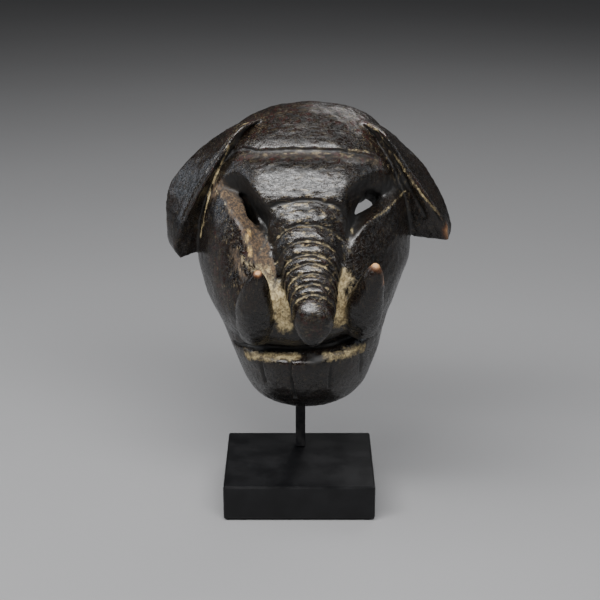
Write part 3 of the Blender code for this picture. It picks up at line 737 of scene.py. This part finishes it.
def carved_wood():
    """Blackened, handled wood: glossy patina, brown where worn, and clay left in the hollows."""
    paint = Paint("carved_wood_finish")
    marks = {name: paint.attribute(name) for name in MARKS}
    patterns = wood_patterns(paint, marks["across"])
    patches = patterns["patches"]
    colour, rubbed = handled_colour(paint, marks, patterns)
    colour, dry = dry_colour(paint, marks, patterns, colour)
    colour = dusty_colour(paint, marks, patterns, colour)
    colour, tips = bare_colour(paint, marks, patterns, colour)
    # Painted shade: black where shade is painted, a little broken up.
    shaded = paint.math("MULTIPLY", marks["painted_shade"], paint.step(patches, 0.3, 0.7, 1, 0.7))
    colour = paint.mix(shaded, colour, BLACK)
    # Kaolin colour, which also paints the highlight line on the right lid's rim.
    colour, clay = clay_and_rim_highlight_colour(paint, marks, patterns, colour)
    colour = hollow_colour(paint, marks, patterns, colour)

    roughness = paint.step(patches, 0.3, 0.7, 0.16, 0.27)
    roughness = paint.blend(rubbed, roughness, 0.4)
    roughness = paint.blend(paint.step(marks["wear"], 0.35, 0.9), roughness, 0.55)
    roughness = paint.blend(patterns["pores"], 0.45, roughness)
    roughness = paint.blend(dry, roughness, 0.85)
    roughness = paint.blend(shaded, roughness, 0.6)
    roughness = paint.blend(paint.step(tips, 0.8, 1.3), roughness, 0.55)
    roughness = paint.blend(clay, roughness, 0.92)
    roughness = paint.blend(marks["inside"], roughness, 0.78)
    wrinkles, cracks, specks = (patterns[k] for k in ("wrinkles", "cracks", "specks"))
    paint.bump((patches, 0.18), (wrinkles, 0.3), (cracks, 0.035), (specks, 0.025))
    return paint.finish(colour, roughness, specular=0.45)


def painted_base():
    """Satin black paint over a wooden block, a little rubbed and dusty."""
    paint = Paint("black_painted_wood_finish")
    cloud = paint.noise(24, 4, 0.6)
    dust = paint.noise(0.7, 2, 0.6)
    grain = paint.noise((26, 1.4, 1.4), 3, 0.6)
    colour = paint.mix(paint.step(cloud, 0.35, 0.7), (0.0018, 0.0018, 0.0021), (0.0036, 0.0036, 0.0041))
    colour = paint.mix(paint.step(dust, 0.68, 0.78, 0, 0.35), colour, (0.03, 0.03, 0.031))
    roughness = paint.step(cloud, 0.3, 0.7, 0.3, 0.42)
    paint.bump((grain, 0.05), (dust, 0.025))
    return paint.finish(colour, roughness, specular=0.3)


def blackened_steel():
    paint = Paint("blackened_steel_finish")
    cloud = paint.noise(7, 4, 0.65)
    scale = paint.noise(0.6, 3, 0.6)
    rub = paint.noise((0.35, 0.35, 8), 3, 0.6)
    colour = paint.mix(paint.step(cloud, 0.35, 0.7), (0.018, 0.018, 0.02), (0.04, 0.039, 0.04))
    colour = paint.mix(paint.step(rub, 0.62, 0.8, 0, 0.5), colour, (0.09, 0.088, 0.085))
    roughness = paint.step(cloud, 0.3, 0.7, 0.42, 0.6)
    paint.bump((scale, 0.04), (rub, 0.02))
    return paint.finish(colour, roughness, 0.7)


def zinc_steel():
    paint = Paint("zinc_steel_finish")
    spangle = paint.noise(2.2, 4, 0.6)
    wipe = paint.noise((0.3, 5, 5), 3, 0.6)
    colour = paint.mix(paint.step(spangle, 0.35, 0.65), (0.42, 0.43, 0.45), (0.6, 0.6, 0.6))
    roughness = paint.step(spangle, 0.3, 0.7, 0.28, 0.45)
    paint.bump((wipe, 0.015), (spangle, 0.02))
    return paint.finish(colour, roughness, 1.0)


def black_rubber():
    paint = Paint("black_rubber_finish")
    bloom = paint.noise(3, 4, 0.6)
    grit = paint.noise(0.4, 2, 0.5)
    colour = paint.mix(paint.step(bloom, 0.45, 0.75), (0.012, 0.012, 0.012), (0.035, 0.034, 0.033))
    paint.bump((grit, 0.03))
    return paint.finish(colour, paint.step(bloom, 0.3, 0.7, 0.62, 0.85))


def felt():
    paint = Paint("felt_finish")
    wool = paint.noise((1.2, 1.2, 0.4), 5, 0.75, 1.2)
    colour = paint.mix(wool, (0.008, 0.008, 0.009), (0.05, 0.05, 0.053))
    paint.bump((wool, 0.25))
    return paint.finish(colour, 0.98, specular=0.2)


def floor_finish():
    paint = Paint("floor_finish")
    cloud = paint.noise(420, 3, 0.5)
    colour = paint.mix(cloud, (0.175, 0.175, 0.178), (0.19, 0.19, 0.193))
    return paint.finish(colour, 0.85, specular=0.3)


# ---- Pieces, stage and camera ---------------------------------------------------------------
FLOOR_SIDE = 14
AMBIENT_COLOUR, AMBIENT_STRENGTH = (0.80, 0.82, 0.86), 0.06
WHITE, BLUISH, BLUER = (1, 1, 1), (0.84, 0.91, 1), (0.8, 0.88, 1)
LIT_POINT = (0, -0.02, 0.22)  # where every light looks
# Each light's name, (azimuth, elevation), distance, (width, height), radiance and colour.
LIGHTS = (
    ("key", (-10, 50), 1.3, (2.2, 0.38), 25.0, WHITE),
    ("key_left", (-66, 45), 1.4, (0.8, 0.36), 9.0, WHITE),
    ("top", (-25, 77), 1.2, (1.3, 0.3), 5.5, WHITE),
    ("left", (-103, 16), 1.5, (0.3, 0.8), 3.4, BLUER),
    ("right", (96, 22), 1.5, (0.3, 0.8), 3.0, BLUISH),
    ("back", (150, 43), 1.8, (1.2, 0.8), 3.6, WHITE),
)
EYE, LOOKING_DOWN = (0.0006, -1.021, 0.5422), 20.11  # the camera's place, and its tilt in degrees
SENSOR_WIDTH, LENS = 36, 83.11
# Which CAD nodes keep their shape, by the finish each is given.
STAND_FINISHES = (
    (painted_base, ("base_block",)),
    (felt, ("base_felt",)),
    (blackened_steel, ("post", "hanger_bar")),
    (zinc_steel, ("post_washer", "post_nut", "bar_set_screw", "bumper_screw")),
    (black_rubber, ("bar_sleeve_left", "bar_sleeve_right", "chin_bumper")),
)


def paint_stand():
    for finish, nodes in STAND_FINISHES:
        made = finish()
        for node in nodes:
            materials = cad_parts[node].data.materials
            materials.clear()
            materials.append(made)


def add_mask():
    mask = bpy.data.objects.new("mask_sculpted", sculpt_mask())
    bpy.context.scene.collection.objects.link(mask)
    mask.data.materials.clear()
    mask.data.materials.append(carved_wood())
    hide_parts("mask_carving")
    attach(mask, "mask")


def area_light(name, direction, distance, size, radiance, colour):
    """A soft box of (width, height) metres, which looks at the mask from (azimuth, elevation)."""
    azimuth, elevation = (math.radians(angle) for angle in direction)
    aim = Vector((
        math.sin(azimuth) * math.cos(elevation),
        -math.cos(azimuth) * math.cos(elevation),
        math.sin(elevation),
    ))
    light = bpy.data.lights.new(name, "AREA")
    light.shape = "RECTANGLE"
    light.size, light.size_y = size
    light.energy = math.pi * size[0] * size[1] * radiance
    light.color = colour
    lamp = bpy.data.objects.new(name, light)
    lamp.location = Vector(LIT_POINT) + aim * distance
    lamp.rotation_euler = aim.to_track_quat("Z", "Y").to_euler()
    bpy.context.scene.collection.objects.link(lamp)


def set_stage():
    bpy.ops.mesh.primitive_plane_add(size=FLOOR_SIDE)
    floor = bpy.context.object
    floor.name = "floor"
    floor.data.materials.append(floor_finish())
    world = bpy.data.worlds.new("studio")
    world.use_nodes = True
    background = world.node_tree.nodes["Background"]
    background.inputs["Color"].default_value = (*AMBIENT_COLOUR, 1)
    background.inputs["Strength"].default_value = AMBIENT_STRENGTH
    bpy.context.scene.world = world
    for light in LIGHTS:
        area_light(*light)


def set_camera():
    camera = bpy.data.cameras.new("camera")
    camera.sensor_width = SENSOR_WIDTH
    camera.lens = LENS
    eye = bpy.data.objects.new("camera", camera)
    eye.location = EYE
    eye.rotation_euler = (math.radians(90 - LOOKING_DOWN), 0, 0)
    bpy.context.scene.collection.objects.link(eye)
    bpy.context.scene.camera = eye


paint_stand()
add_mask()
set_stage()
set_camera()
